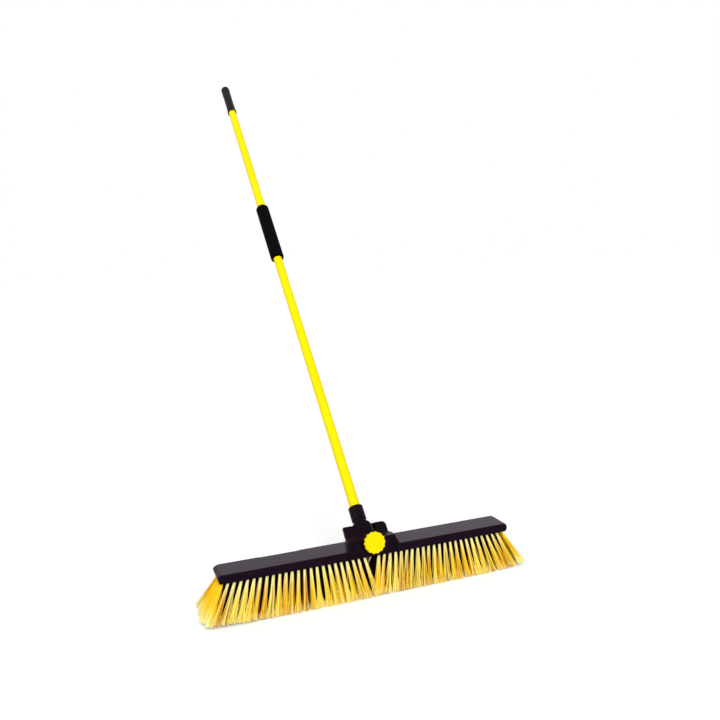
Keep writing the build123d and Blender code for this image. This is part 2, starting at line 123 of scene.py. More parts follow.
# Finishes
# the sheen share in the looks below is a painted sheen, laid on the top faces only
mouldingBase = {"scuffStretch": (1, 5, 5), "topPower": 3.0, "paintedSheenRoughness": 0.4}
blackLooks = {
    "blockPlastic": {
        "dark": (0.0075, 0.0030, 0.0078), "pale": (0.0120, 0.0052, 0.0124), "blotchScale": 38.0,
        "grainScale": 900.0, "grainStrength": 0.12, "grainDepth": 0.0003, "scuffScale": 55.0,
        "roughness": (0.16, 0.30), "specular": (0.03, 0.09), "gloss": (1.0, 0.62, 0.96), "paintedSheen": 0.16,
    },
    "bracketPlastic": {
        "dark": (0.0024, 0.0010, 0.0020), "pale": (0.0052, 0.0026, 0.0046), "blotchScale": 60.0,
        "grainScale": 1200.0, "grainStrength": 0.12, "grainDepth": 0.0002, "scuffScale": 90.0,
        "roughness": (0.12, 0.22), "specular": (0.075, 0.11), "gloss": (1.0, 0.62, 0.9), "paintedSheen": 0.06,
    },
    "capVinyl": {
        "dark": (0.006, 0.003, 0.005), "pale": (0.011, 0.006, 0.009), "blotchScale": 90.0,
        "grainScale": 1500.0, "grainStrength": 0.18, "grainDepth": 0.0002, "scuffScale": 120.0,
        "roughness": (0.38, 0.58), "specular": (0.10, 0.10), "gloss": (1.0, 0.8, 0.95), "paintedSheen": 0.0,
    },
    "stripPlastic": {
        "dark": (0.012, 0.010, 0.012), "pale": (0.020, 0.016, 0.019), "blotchScale": 80.0,
        "grainScale": 1100.0, "grainStrength": 0.2, "grainDepth": 0.0002, "scuffScale": 90.0,
        "roughness": (0.45, 0.65), "specular": (0.25, 0.25), "gloss": (1.0, 0.9, 1.0), "paintedSheen": 0.0,
    },
}


def blackMoulding(name, look):  # grain and faint blotches; the top faces get more specular and a tinted sheen than the sides, partly a smoother top and partly painted sheen that lightens the top and leaves the sides darker
    mat, tree, shader = newMaterial(name)
    space = objectSpace(tree)
    blotch = noise(tree, space, look["blotchScale"], detail=4.0)
    grain = noise(tree, space, look["grainScale"], detail=2.0)
    scuff = noise(tree, objectSpace(tree, look["scuffStretch"]), look["scuffScale"], detail=5.0, rough=0.7)
    facing = addNode(tree, "ShaderNodeTexCoord").outputs["Normal"]
    upright = addNode(tree, "ShaderNodeSeparateXYZ", Vector=facing).outputs["Z"]
    paintedSheenMask = calc(tree, "POWER", calc(tree, "MAXIMUM", upright, 0.0), look["topPower"])
    tint = (*look["gloss"], 1.0)
    wire(tree, shader, {
        "Base Color": twoTone(tree, blotch, look["dark"], look["pale"]),
        "Roughness": spread(tree, scuff, *look["roughness"]),
        "Normal": bump(tree, grain, look["grainStrength"], look["grainDepth"]),
        "Specular IOR Level": spread(tree, paintedSheenMask, *look["specular"]),  # sides, then top; the top's extra specular is partly painted sheen
        "Specular Tint": tint,
        # painted sheen, tinted, on the top faces only
        "Sheen Weight": spread(tree, paintedSheenMask, 0.0, look["paintedSheen"]),
        "Sheen Roughness": look["paintedSheenRoughness"],
        "Sheen Tint": tint,
    })
    return mat


blackMaterials = {name: blackMoulding(name, {**mouldingBase, **look}) for name, look in blackLooks.items()}

yellowLooks = {
    "tubePaint": {
        "deep": (0.96, 0.73, 0.0004), "bright": (1.0, 0.79, 0.0008), "driftScale": 9.0,
        "peelScale": 1400.0, "peelStrength": 0.12, "peelDepth": 0.0002, "rubScale": 35.0,
        "roughness": (0.34, 0.5), "specular": 0.06, "coat": 0.02, "coatRoughness": 0.22,
    },
    "knobPlastic": {
        "deep": (0.96, 0.68, 0.0004), "bright": (1.0, 0.79, 0.0008), "driftScale": 45.0,
        "peelScale": 1800.0, "peelStrength": 0.12, "peelDepth": 0.0002, "rubScale": 140.0,
        "roughness": (0.36, 0.52), "specular": 0.06, "coat": 0.02, "coatRoughness": 0.22,
    },
}


def yellowCoat(name, look):  # paint or gloss plastic: orange peel, slight tone drift, clear top
    mat, tree, shader = newMaterial(name)
    space = objectSpace(tree)
    drift = noise(tree, space, look["driftScale"])
    peel = noise(tree, space, look["peelScale"], detail=2.0)
    rub = noise(tree, space, look["rubScale"], detail=5.0, rough=0.65)
    wire(tree, shader, {
        "Base Color": twoTone(tree, drift, look["deep"], look["bright"]),
        "Roughness": spread(tree, rub, *look["roughness"]),
        "Normal": bump(tree, peel, look["peelStrength"], look["peelDepth"]),
        "Specular IOR Level": look["specular"],
        "Coat Weight": look["coat"],
        "Coat Roughness": look["coatRoughness"],
    })
    return mat


yellowMaterials = {name: yellowCoat(name, look) for name, look in yellowLooks.items()}

metalLooks = {
    "zincSteel": {
        "dull": (0.42, 0.42, 0.43), "bright": (0.66, 0.66, 0.68), "stainScale": 260.0,
        "lineScale": 900.0, "lineStretch": (1, 0.15, 0.15), "lineStrength": 0.15, "lineDepth": 0.00015,
        "roughness": (0.28, 0.45),
    },
    "turnedBrass": {
        "dull": (0.52, 0.36, 0.12), "bright": (0.78, 0.60, 0.28), "stainScale": 220.0,
        "lineScale": 1200.0, "lineStretch": (0.2, 1, 0.2), "lineStrength": 0.15, "lineDepth": 0.00015,
        "roughness": (0.25, 0.4),
    },
}


def metalFinish(name, look):  # plated or turned metal: fine lines round the axis and small stains
    mat, tree, shader = newMaterial(name)
    lines = noise(tree, objectSpace(tree, look["lineStretch"]), look["lineScale"])
    stain = noise(tree, objectSpace(tree), look["stainScale"], detail=5.0, rough=0.65)
    wire(tree, shader, {
        "Base Color": twoTone(tree, stain, look["dull"], look["bright"], margin=0.35),
        "Roughness": spread(tree, lines, *look["roughness"]),
        "Normal": bump(tree, lines, look["lineStrength"], look["lineDepth"]),
        "Metallic": 1.0,
    })
    return mat


metalMaterials = {name: metalFinish(name, look) for name, look in metalLooks.items()}

nylonLook = {
    "milky": (0.55, 0.53, 0.47), "clear": (0.68, 0.66, 0.60), "cloudScale": 200.0, "roughness": (0.35, 0.5),
    "grainScale": 1500.0, "grainStrength": 0.12, "grainDepth": 0.0002, "translucent": 0.15,
}


def nylonFinish(look):
    mat, tree, shader = newMaterial("shoeNylon")
    space = objectSpace(tree)
    cloud = noise(tree, space, look["cloudScale"], detail=4.0)
    grain = noise(tree, space, look["grainScale"], detail=2.0)
    wire(tree, shader, {
        "Base Color": twoTone(tree, cloud, look["milky"], look["clear"]),
        "Roughness": spread(tree, cloud, *look["roughness"]),
        "Normal": bump(tree, grain, look["grainStrength"], look["grainDepth"]),
        "Subsurface Weight": look["translucent"],
    })
    return mat


foamLook = {
    "dark": (0.0012, 0.0006, 0.0012), "pale": (0.0034, 0.0020, 0.0034), "mottleScale": 110.0,
    "cellScale": 620.0, "cellStrength": 0.55, "cellDepth": 0.0006,
    "dentScale": 240.0, "dentStrength": 0.3, "dentDepth": 0.0006,
    "roughness": (0.7, 0.92), "specular": 0.03,
}


def foamFinish(look):  # closed cells: small pits over soft dents and a mottle
    mat, tree, shader = newMaterial("gripFoam")
    space = objectSpace(tree)
    cells = addNode(tree, "ShaderNodeTexVoronoi", Vector=space, Scale=look["cellScale"]).outputs["Distance"]
    mottle = noise(tree, space, look["mottleScale"], detail=4.0)
    pits = bump(tree, cells, look["cellStrength"], look["cellDepth"])
    dents = noise(tree, space, look["dentScale"])
    wire(tree, shader, {
        "Base Color": twoTone(tree, mottle, look["dark"], look["pale"]),
        "Roughness": spread(tree, mottle, *look["roughness"]),
        "Normal": bump(tree, dents, look["dentStrength"], look["dentDepth"], pits),
        "Specular IOR Level": look["specular"],
    })
    return mat


fibreLooks = {  # tones from filament to filament, darker for strands deep in a tuft as painted shade, then shares and colours from root to tip, the pale root a painted highlight
    "yellowFibre": {
        "tones": [
            (0.24, (1.0, 0.87, 0.19)), (0.45, (1.0, 0.70, 0.024)),
            (0.61, (0.96, 0.49, 0.004)), (0.80, (0.36, 0.110, 0.001)),
        ],
        "ends": (1.0, 0.95, 0.50),
        # paler towards the root, a painted highlight where the block shades the roots; paler again at the tips
        "endShare": [(0.0, 0.95), (0.14, 0.6), (0.36, 0.16), (0.6, 0.0), (0.85, 0.02), (1.0, 0.3)],
        "gold": [
            (0.0, (1.0, 0.64, 0.015)), (0.5, (1.0, 0.62, 0.008)), (0.7, (1.0, 0.74, 0.06)),
            (0.9, (1.0, 0.88, 0.28)), (1.0, (1.0, 0.92, 0.40)),
        ],
        "roughness": (0.34, 0.55), "specular": 0.18,
    },
    "blackFibre": {
        "tones": [(0.0, (0.0050, 0.0020, 0.0014)), (1.0, (0.0026, 0.0010, 0.0007))],
        "ends": (0.014, 0.010, 0.010),
        "endShare": [(0.0, 0.0), (0.7, 0.1), (1.0, 1.0)],
        "gold": [(0.0, (0.0040, 0.0016, 0.0012)), (1.0, (0.008, 0.006, 0.006))],
        "roughness": (0.38, 0.6), "specular": 0.05,
    },
}


def fibreFinish(name, look):  # a tone for each filament, darker deep in a tuft as painted shade, paler at its ends, at the root as a painted highlight, and gold at the block's ends
    mat, tree, shader = newMaterial(name)
    along, toneAndShade, atEnd = (
        addNode(tree, "ShaderNodeAttribute", {"attribute_name": key}).outputs["Fac"]
        for key in ("along", "toneAndShade", "atEnd")
    )
    endStops = [(place, (share,) * 3) for place, share in look["endShare"]]
    faded = mixed(tree, ramp(tree, along, endStops), ramp(tree, toneAndShade, look["tones"]), (*look["ends"], 1.0))
    wire(tree, shader, {
        "Base Color": mixed(tree, atEnd, faded, ramp(tree, along, look["gold"])),
        "Roughness": spread(tree, toneAndShade, *look["roughness"]),
        "Specular IOR Level": look["specular"],
    })
    return mat


fibreMaterials = {name: fibreFinish(name, look) for name, look in fibreLooks.items()}

nodeFinish = {
    "broom_block": blackMaterials["blockPlastic"],
    "bracket_base": blackMaterials["bracketPlastic"],
    "handle_socket": blackMaterials["bracketPlastic"],
    "end_cap": blackMaterials["capVinyl"],
    "handle_tube": yellowMaterials["tubePaint"],
    "lock_knob": yellowMaterials["knobPlastic"],
    "lock_shoe": nylonFinish(nylonLook),
    "thread_insert": metalMaterials["turnedBrass"],
}
for nodeName in ("hinge_pin", "pin_retainers", "pivot_washers", "knob_stud", "knob_washer"):
    nodeFinish[nodeName] = metalMaterials["zincSteel"]
for nodeName, material in nodeFinish.items():
    slots = nodes[nodeName].data.materials
    slots.clear()
    slots.append(material)
print("finishes on", len(nodeFinish), "nodes")


# Geometry Nodes helpers
def newTree(name, inputs):
    tree = bpy.data.node_groups.new(name, "GeometryNodeTree")
    tree.interface.new_socket("Geometry", in_out="OUTPUT", socket_type="NodeSocketGeometry")
    for kind, labels in inputs.items():
        for label in labels:
            tree.interface.new_socket(label, in_out="INPUT", socket_type="NodeSocket" + kind)
    start = tree.nodes.new("NodeGroupInput")
    end = tree.nodes.new("NodeGroupOutput")
    return tree, start.outputs, end.inputs["Geometry"]


def between(tree, low, high, share):  # low + (high - low) * share
    return calc(tree, "MULTIPLY_ADD", calc(tree, "SUBTRACT", high, low), share, low)


def chance(tree, low, high, ident, seed, offset):
    node = addNode(tree, "FunctionNodeRandomValue", {"data_type": "FLOAT"}, ID=ident)
    sockets = {socket.identifier: socket for socket in node.inputs}
    for key, value in (("Min_001", low), ("Max_001", high), ("Seed", calc(tree, "ADD", seed, offset))):
        feed(tree, sockets[key], value)
    return node.outputs[1]


def point(tree, x, y, z):
    return addNode(tree, "ShaderNodeCombineXYZ", X=x, Y=y, Z=z).outputs[0]


def keep(tree, geometry, name, value, kind="FLOAT", domain="POINT"):
    settings = {"data_type": kind, "domain": domain}
    inputs = {"Geometry": geometry, "Name": name, "Value": value}
    return addNode(tree, "GeometryNodeStoreNamedAttribute", settings, **inputs).outputs[0]


def recall(tree, name, kind="FLOAT"):
    return addNode(tree, "GeometryNodeInputNamedAttribute", {"data_type": kind}, Name=name).outputs["Attribute"]


def sweep(tree, curve, profile, scale):
    inputs = {"Curve": curve, "Profile Curve": profile, "Scale": scale, "Fill Caps": True}
    return addNode(tree, "GeometryNodeCurveToMesh", **inputs).outputs[0]


workAttributes = ("rootAt", "endAt", "bowBy", "isFibre", "wide")  # used while a piece is made


def runTree(tree, name, values):
    piece = bpy.data.objects.new(name, bpy.data.meshes.new(name))
    bpy.context.scene.collection.objects.link(piece)
    modifier = piece.modifiers.new("build", "NODES")
    modifier.node_group = tree
    for item in tree.interface.items_tree:
        if item.in_out == "INPUT":
            modifier[item.identifier] = values[item.name]
    graph = bpy.context.evaluated_depsgraph_get()
    made = piece.evaluated_get(graph)
    mesh = bpy.data.meshes.new_from_object(made, preserve_all_data_layers=True, depsgraph=graph)
    piece.modifiers.remove(modifier)
    piece.data = mesh
    mesh.name = name
    for extra in workAttributes:
        if extra in mesh.attributes:
            mesh.attributes.remove(mesh.attributes[extra])
    return piece


# Bristles: tufts of fine filaments that part into clumps and splay towards the floor
bristleInputs = {
    "Int": ("rows", "tufts", "filaments", "seed"),
    "Float": (
        "firstRow", "rowStep", "rowSpread", "side", "firstPlace", "pitch", "leanStart", "leanEnd", "leanIn",
        "leanOut", "leanCurve", "leanDrift", "rootAlong", "rootAcross", "tipAlong", "tipAcross", "clumps",
        "clumpPull", "mixed", "stray", "goldFrom", "bow", "flare", "rootHeight", "reach", "uneven", "thick",
        "taper",
    ),
    "Vector": ("stripMiddle", "stripSize"),
    "Material": ("fibre", "strip"),
}
fibreForm = {
    "points": 5, "sides": 4, "archScale": 6.75,  # the arch is 1 at two thirds of the way down
    "clumpStride": 32.0, "pullLeast": 0.65, "innerAway": 0.4, "strayPower": 5.0, "raggedPower": 2.0,
    "leastDrop": 0.0004, "streakShare": 0.4,
}


def bristleTree(form):
    tree, given, result = newTree("bristleRows", bristleInputs)
    seed = given["seed"]
    index = addNode(tree, "GeometryNodeInputIndex").outputs[0]
    tuft = calc(tree, "FLOOR", calc(tree, "DIVIDE", calc(tree, "ADD", index, 0.5), given["filaments"]))
    rowIndex = calc(tree, "FLOOR", calc(tree, "DIVIDE", calc(tree, "ADD", tuft, 0.5), given["tufts"]))
    inRow = calc(tree, "SUBTRACT", tuft, calc(tree, "MULTIPLY", rowIndex, given["tufts"]))
    row = calc(tree, "MULTIPLY_ADD", rowIndex, given["rowStep"], given["firstRow"])
    place = calc(tree, "MULTIPLY_ADD", inRow, given["pitch"], given["firstPlace"])
    span = calc(tree, "SUBTRACT", given["leanEnd"], given["leanStart"])
    straightShare = calc(tree, "DIVIDE", calc(tree, "SUBTRACT", place, given["leanStart"]), span)
    share = calc(tree, "POWER", calc(tree, "MAXIMUM", straightShare, 0.0), given["leanCurve"])
    drift = calc(tree, "MULTIPLY", given["leanDrift"], chance(tree, -1.0, 1.0, tuft, seed, 1))
    lean = calc(tree, "ADD", between(tree, given["leanIn"], given["leanOut"], share), drift)

    away = calc(tree, "SQRT", chance(tree, 0.0, 1.0, index, seed, 2))
    angle = chance(tree, 0.0, 2 * math.pi, index, seed, 3)
    discX = calc(tree, "MULTIPLY", away, calc(tree, "COSINE", angle))
    discY = calc(tree, "MULTIPLY", away, calc(tree, "SINE", angle))
    phase = chance(tree, 0.0, 2 * math.pi, tuft, seed, 4)
    sector = calc(tree, "DIVIDE", 2 * math.pi, given["clumps"])
    clump = calc(tree, "FLOOR", calc(tree, "DIVIDE", calc(tree, "ADD", angle, phase), sector))
    middle = calc(tree, "SUBTRACT", calc(tree, "MULTIPLY", calc(tree, "ADD", clump, 0.5), sector), phase)
    pull = calc(tree, "MULTIPLY", given["clumpPull"], chance(tree, form["pullLeast"], 1.0, index, seed, 5))
    strand = calc(tree, "MULTIPLY_ADD", tuft, form["clumpStride"], clump)
    depth = chance(tree, 0.0, 1.0, strand, seed, 14)  # how far a strand stands inside its tuft, and how dark its painted shade is
    clumpAway = between(tree, 1.0, form["innerAway"], depth)
    tipX = between(tree, discX, calc(tree, "MULTIPLY", clumpAway, calc(tree, "COSINE", middle)), pull)
    tipY = between(tree, discY, calc(tree, "MULTIPLY", clumpAway, calc(tree, "SINE", middle)), pull)
    rare = calc(tree, "POWER", chance(tree, 0.0, 1.0, index, seed, 6), form["strayPower"])
    wild = calc(tree, "MULTIPLY", given["stray"], rare)
    strayX = calc(tree, "MULTIPLY", wild, chance(tree, -1.0, 1.0, index, seed, 7))
    strayY = calc(tree, "MULTIPLY", wild, chance(tree, -1.0, 1.0, index, seed, 8))

    rootX = calc(tree, "MULTIPLY_ADD", discX, given["rootAlong"], calc(tree, "MULTIPLY", given["side"], place))
    rootY = calc(tree, "MULTIPLY_ADD", discY, given["rootAcross"], row)
    reachX = calc(tree, "MULTIPLY", given["side"], calc(tree, "ADD", place, lean))
    endX = calc(tree, "ADD", calc(tree, "MULTIPLY_ADD", tipX, given["tipAlong"], reachX), strayX)
    rowAtFloor = calc(tree, "MULTIPLY", row, given["rowSpread"])
    endY = calc(tree, "ADD", calc(tree, "MULTIPLY_ADD", tipY, given["tipAcross"], rowAtFloor), strayY)
    splayX = calc(tree, "POWER", calc(tree, "SUBTRACT", endX, rootX), 2.0)
    splayY = calc(tree, "POWER", calc(tree, "SUBTRACT", endY, rootY), 2.0)
    reachSquare = calc(tree, "MULTIPLY", given["reach"], given["reach"])
    left = calc(tree, "SUBTRACT", reachSquare, calc(tree, "ADD", splayX, splayY))
    drop = calc(tree, "SQRT", calc(tree, "MAXIMUM", left, form["leastDrop"]))
    lift = calc(tree, "MAXIMUM", calc(tree, "SUBTRACT", given["rootHeight"], drop), 0.0)
    short = calc(tree, "POWER", chance(tree, 0.0, 1.0, index, seed, 9), form["raggedPower"])
    endZ = calc(tree, "ADD", lift, calc(tree, "MULTIPLY", given["uneven"], short))

    count = calc(tree, "MULTIPLY", calc(tree, "MULTIPLY", given["tufts"], given["rows"]), given["filaments"])
    dots = addNode(tree, "GeometryNodePoints", Count=count).outputs[0]
    dots = keep(tree, dots, "rootAt", point(tree, rootX, rootY, given["rootHeight"]), "FLOAT_VECTOR")
    dots = keep(tree, dots, "endAt", point(tree, endX, endY, endZ), "FLOAT_VECTOR")
    inX = calc(tree, "MULTIPLY", calc(tree, "MULTIPLY", tipX, given["tipAlong"]), given["flare"])
    inY = calc(tree, "MULTIPLY", calc(tree, "MULTIPLY", tipY, given["tipAcross"]), given["flare"])
    bendX = calc(tree, "MULTIPLY", given["bow"], chance(tree, -1.0, 1.0, index, seed, 10))
    bendY = calc(tree, "MULTIPLY", given["bow"], chance(tree, -1.0, 1.0, index, seed, 11))
    bowBy = point(tree, calc(tree, "SUBTRACT", bendX, inX), calc(tree, "SUBTRACT", bendY, inY), 0.0)
    dots = keep(tree, dots, "bowBy", bowBy, "FLOAT_VECTOR")
    # strands deep in a tuft take the darker tones: painted shade, mixed with a random streak
    shadeAndStreak = between(tree, depth, chance(tree, 0.0, 1.0, strand, seed, 12), form["streakShare"])
    toneAndShade = between(tree, shadeAndStreak, chance(tree, 0.0, 1.0, index, seed, 13), given["mixed"])
    dots = keep(tree, dots, "toneAndShade", toneAndShade)
    dots = keep(tree, dots, "atEnd", calc(tree, "GREATER_THAN", place, given["goldFrom"]))

    line = addNode(tree, "GeometryNodeCurvePrimitiveLine").outputs[0]
    line = addNode(tree, "GeometryNodeResampleCurve", Curve=line, Count=form["points"]).outputs[0]
    strands = addNode(tree, "GeometryNodeInstanceOnPoints", Points=dots, Instance=line).outputs[0]
    strands = addNode(tree, "GeometryNodeRealizeInstances", Geometry=strands).outputs[0]
    strands = keep(tree, strands, "along", addNode(tree, "GeometryNodeSplineParameter").outputs["Factor"])
    t = recall(tree, "along")
    straight = addNode(tree, "ShaderNodeMix", {"data_type": "VECTOR"})
    tree.links.new(t, straight.inputs[0])
    tree.links.new(recall(tree, "rootAt", "FLOAT_VECTOR"), straight.inputs[4])
    tree.links.new(recall(tree, "endAt", "FLOAT_VECTOR"), straight.inputs[5])
    hump = calc(tree, "MULTIPLY", calc(tree, "POWER", t, 2.0), calc(tree, "SUBTRACT", 1.0, t))
    arch = calc(tree, "MULTIPLY", hump, form["archScale"])
    bowed = recall(tree, "bowBy", "FLOAT_VECTOR")
    sway = addNode(tree, "ShaderNodeVectorMath", {"operation": "SCALE"}, Vector=bowed, Scale=arch)
    bent = addNode(tree, "ShaderNodeVectorMath", {"operation": "ADD"})
    tree.links.new(straight.outputs[1], bent.inputs[0])
    tree.links.new(sway.outputs[0], bent.inputs[1])
    strands = addNode(tree, "GeometryNodeSetPosition", Geometry=strands, Position=bent.outputs[0]).outputs[0]
    ring = addNode(tree, "GeometryNodeCurvePrimitiveCircle", Resolution=form["sides"], Radius=given["thick"])
    thin = calc(tree, "SUBTRACT", 1.0, calc(tree, "MULTIPLY", t, given["taper"]))
    fibres = sweep(tree, strands, ring.outputs[0], thin)
    fibres = keep(tree, fibres, "isFibre", True, "BOOLEAN", "FACE")

    bar = addNode(tree, "GeometryNodeMeshCube", Size=given["stripSize"]).outputs[0]
    bar = addNode(tree, "GeometryNodeTransform", Geometry=bar, Translation=given["stripMiddle"]).outputs[0]
    bar = addNode(tree, "GeometryNodeSetMaterial", Geometry=bar, Material=given["strip"]).outputs[0]
    both = tree.nodes.new("GeometryNodeJoinGeometry")
    tree.links.new(bar, both.inputs[0])
    tree.links.new(fibres, both.inputs[0])
    whole = addNode(tree, "GeometryNodeRealizeInstances", Geometry=both.outputs[0]).outputs[0]
    finish = {"Geometry": whole, "Selection": recall(tree, "isFibre", "BOOLEAN"), "Material": given["fibre"]}
    tree.links.new(addNode(tree, "GeometryNodeSetMaterial", **finish).outputs[0], result)
    return tree


tuftPlaces = {"first": 0.0165, "end": 0.298, "pitch": 0.0122391}  # as in CAD
stripSizes = {"end": 0.0038, "width": 0.009, "height": 0.003, "low": 0.075}  # as in CAD
bristleLook = {
    "rows": 1, "rowStep": 0.0, "rowSpread": 2.30, "firstPlace": tuftPlaces["first"], "pitch": tuftPlaces["pitch"],
    "leanStart": tuftPlaces["first"], "leanEnd": tuftPlaces["end"], "leanDrift": 0.0026,
    "rootHeight": 0.0753, "reach": 0.0806, "bow": 0.0007, "uneven": 0.0022, "thick": 0.00040, "taper": -0.3,
    "flare": 0.30, "clumps": 8.0, "clumpPull": 0.80, "mixed": 0.15, "stray": 0.008, "goldFrom": 0.29,
    "rootAlong": 0.0023, "rootAcross": 0.0020, "tipAlong": 0.0078, "tipAcross": 0.0060,
    "strip": blackMaterials["stripPlastic"], "firstSeed": 31, "seedStep": 20,
}
sideLooks = {  # the right half leans in further along than the left, in tighter tufts
    "left": {"side": -1.0, "leanIn": -0.0145, "leanOut": 0.036, "leanCurve": 1.05},
    "right": {
        "side": 1.0, "leanIn": -0.0165, "leanOut": 0.032, "leanCurve": 2.2, "tipAlong": 0.0072, "tipAcross": 0.0048,
    },
}
yellowRow = {"fibre": fibreMaterials["yellowFibre"], "slot": "bristle_fibre"}
outerRow = {**yellowRow, "tufts": 24, "filaments": 130}
innerRow = {
    "fibre": fibreMaterials["blackFibre"], "slot": "inner_fibre", "filaments": 84, "flare": 0.0,
    "rootAlong": 0.0052, "rootAcross": 0.0036, "tipAlong": 0.0082, "tipAcross": 0.0080,
}
rowLooks = {  # a row's own values replace its side's and bristleLook's
    "front_outer": {**outerRow, "firstRow": -0.0195},
    "front_inner": {**innerRow, "firstRow": -0.0065, "tufts": 23},
    "back_inner": {
        **innerRow, "firstRow": 0.0065, "tufts": 22, "firstPlace": tuftPlaces["first"] + tuftPlaces["pitch"] / 2,
    },
    "back_outer": {**outerRow, "firstRow": 0.0195},
    "end": {
        **yellowRow, "firstRow": -0.0065, "rows": 2, "rowStep": 0.013, "firstPlace": tuftPlaces["end"],
        "tufts": 1, "filaments": 260, "leanOut": 0.035, "rowSpread": 2.7, "tipAlong": 0.0074, "tipAcross": 0.0190,
        "clumpPull": 0.20, "mixed": 0.5, "bow": 0.0012, "flare": 0.05,
    },
}


def stripBox(look):  # middle and size of the strip that holds a row's tufts
    length = (look["tufts"] - 1) * look["pitch"]
    breadth = (look["rows"] - 1) * look["rowStep"]
    middle = (
        look["side"] * (look["firstPlace"] + length / 2),
        look["firstRow"] + breadth / 2,
        stripSizes["low"] + stripSizes["height"] / 2,
    )
    return middle, (length + 2 * stripSizes["end"], stripSizes["width"] + breadth, stripSizes["height"])


def makeBristles():
    tree = bristleTree(fibreForm)
    seed = bristleLook["firstSeed"]
    for rowName, rowLook in rowLooks.items():
        for sideName, sideLook in sideLooks.items():
            values = {**bristleLook, **sideLook, **rowLook, "seed": seed}
            values["stripMiddle"], values["stripSize"] = stripBox(values)
            seed += bristleLook["seedStep"]
            piece = runTree(tree, f"{rowName}Bristles{sideName.capitalize()}", values)
            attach(piece, "head")
            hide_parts(f"{rowName}_bristles_{sideName}")
            print("bristles", piece.name, len(piece.data.polygons), "faces")


makeBristles()


# Block: the CAD block, with ends that swell at mid height and tighter corners
blockLook = {
    "low": 0.075, "high": 0.092, "halfLow": 0.307, "halfHigh": 0.302, "halfWidth": 0.028, "corner": 0.009,  # as in CAD
    "newCorner": 0.0055, "rim": 0.8, "slack": 0.05, "weld": 1e-6, "crease": 38.0,
    "levels": (0.077, 0.079, 0.0815, 0.084, 0.0865, 0.0885, 0.0897),  # clear of the notch's floor
    "ends": {  # outward shift by height
        "left": [
            (0.075, -0.0030), (0.079, -0.0006), (0.084, 0.0021), (0.087, 0.0034),
            (0.0885, 0.0030), (0.090, 0.0016), (0.092, -0.0018),
        ],
        "right": [
            (0.075, 0.0010), (0.079, 0.0046), (0.084, 0.0066), (0.088, 0.0058), (0.0905, 0.0040), (0.092, 0.0020),
        ],
    },
}


def shiftAt(steps, height):
    for (low, first), (high, last) in zip(steps, steps[1:]):
        if height <= high:
            return first + (last - first) * (height - low) / (high - low)
    return steps[-1][1]


def roundEnd(look, place):  # moves a point of the block's outline, and leaves the grooves alone
    rise = (place.z - look["low"]) / (look["high"] - look["low"])
    half = look["halfLow"] + (look["halfHigh"] - look["halfLow"]) * rise
    corner, newCorner = look["corner"], look["newCorner"]
    flat, newFlat = look["halfWidth"] - corner, look["halfWidth"] - newCorner
    along = (abs(place.x) - half + corner) / corner  # 0 where the corner starts, 1 on the end face
    across = max((abs(place.y) - flat) / corner, 0.0)
    if along < -look["slack"] or math.hypot(along, across) < look["rim"]:
        return
    shift = shiftAt(look["ends"]["left" if place.x < 0 else "right"], place.z)
    place.x = math.copysign(half + shift - newCorner + newCorner * along, place.x)
    if across > 0:
        place.y = math.copysign(newFlat + newCorner * across, place.y)
    else:
        place.y *= newFlat / flat


def evenNormals(mesh, crease):  # large flat faces rule the shading of the roundings beside them
    near = math.cos(math.radians(crease))
    touching = [[] for _ in mesh.vertices]
    for face in mesh.polygons:
        for vertex in face.vertices:
            touching[vertex].append(face)
    normals = []
    for face in mesh.polygons:
        for vertex in face.vertices:
            total = Vector((0.0, 0.0, 0.0))
            for other in touching[vertex]:
                if other.normal.dot(face.normal) > near:
                    total += other.normal * other.area
            normals.append(total.normalized() if total.length > 0 else face.normal)
    mesh.normals_split_custom_set(normals)


def makeBlock(look):
    mesh = nodes["broom_block"].data.copy()
    mesh.name = "broomBlock"
    mesh.attributes.remove(mesh.attributes["custom_normal"])
    form = bmesh.new()
    form.from_mesh(mesh)
    bmesh.ops.remove_doubles(form, verts=form.verts, dist=look["weld"])
    for level in look["levels"]:
        whole = form.verts[:] + form.edges[:] + form.faces[:]
        bmesh.ops.bisect_plane(form, geom=whole, plane_co=(0.0, 0.0, level), plane_no=(0.0, 0.0, 1.0))
    bmesh.ops.triangulate(form, faces=form.faces)
    for vertex in form.verts:
        roundEnd(look, vertex.co)
    form.to_mesh(mesh)
    form.free()
    mesh.polygons.foreach_set("use_smooth", [True] * len(mesh.polygons))
    evenNormals(mesh, look["crease"])
    block = bpy.data.objects.new("broomBlock", mesh)
    bpy.context.scene.collection.objects.link(block)
    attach(block, "head")
    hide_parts("broom_block")
    print("block", len(mesh.polygons), "faces")


makeBlock(blockLook)


# Foam grip: a sleeve with soft rounded ends, a little uneven, closed round the tube
gripLook = {
    "start": 0.7983, "end": 0.9963, "radius": 0.0172, "bore": 0.01112, "edge": 0.005,
    "wave": 0.00014, "waveAround": 2.2, "waveAlong": 70.0, "plainNear": 0.002,  # no wave this near the bore
    "rings": 48, "around": 72, "mouthSteps": 9, "boreShares": (0.25, 0.5, 0.75), "crease": 50.0, "fill": 0.95,
}


def gripProfile(look):  # way up the handle and radius, round the sleeve's section
    start, end, radius, edge = look["start"], look["end"], look["radius"], look["edge"]
    turns = [math.pi / 2 * step / look["mouthSteps"] for step in range(look["mouthSteps"] + 1)]
    middle = [start + edge + (end - start - 2 * edge) * step / look["rings"] for step in range(1, look["rings"])]
    profile = [(start, look["bore"])]
    profile += [(start + edge - edge * math.cos(turn), radius - edge + edge * math.sin(turn)) for turn in turns]
    profile += [(s, radius) for s in middle]
    profile += [(end - edge + edge * math.sin(turn), radius - edge + edge * math.cos(turn)) for turn in turns]
    profile += [(end, look["bore"])]
    profile += [(end - (end - start) * share, look["bore"]) for share in look["boreShares"]]
    return profile


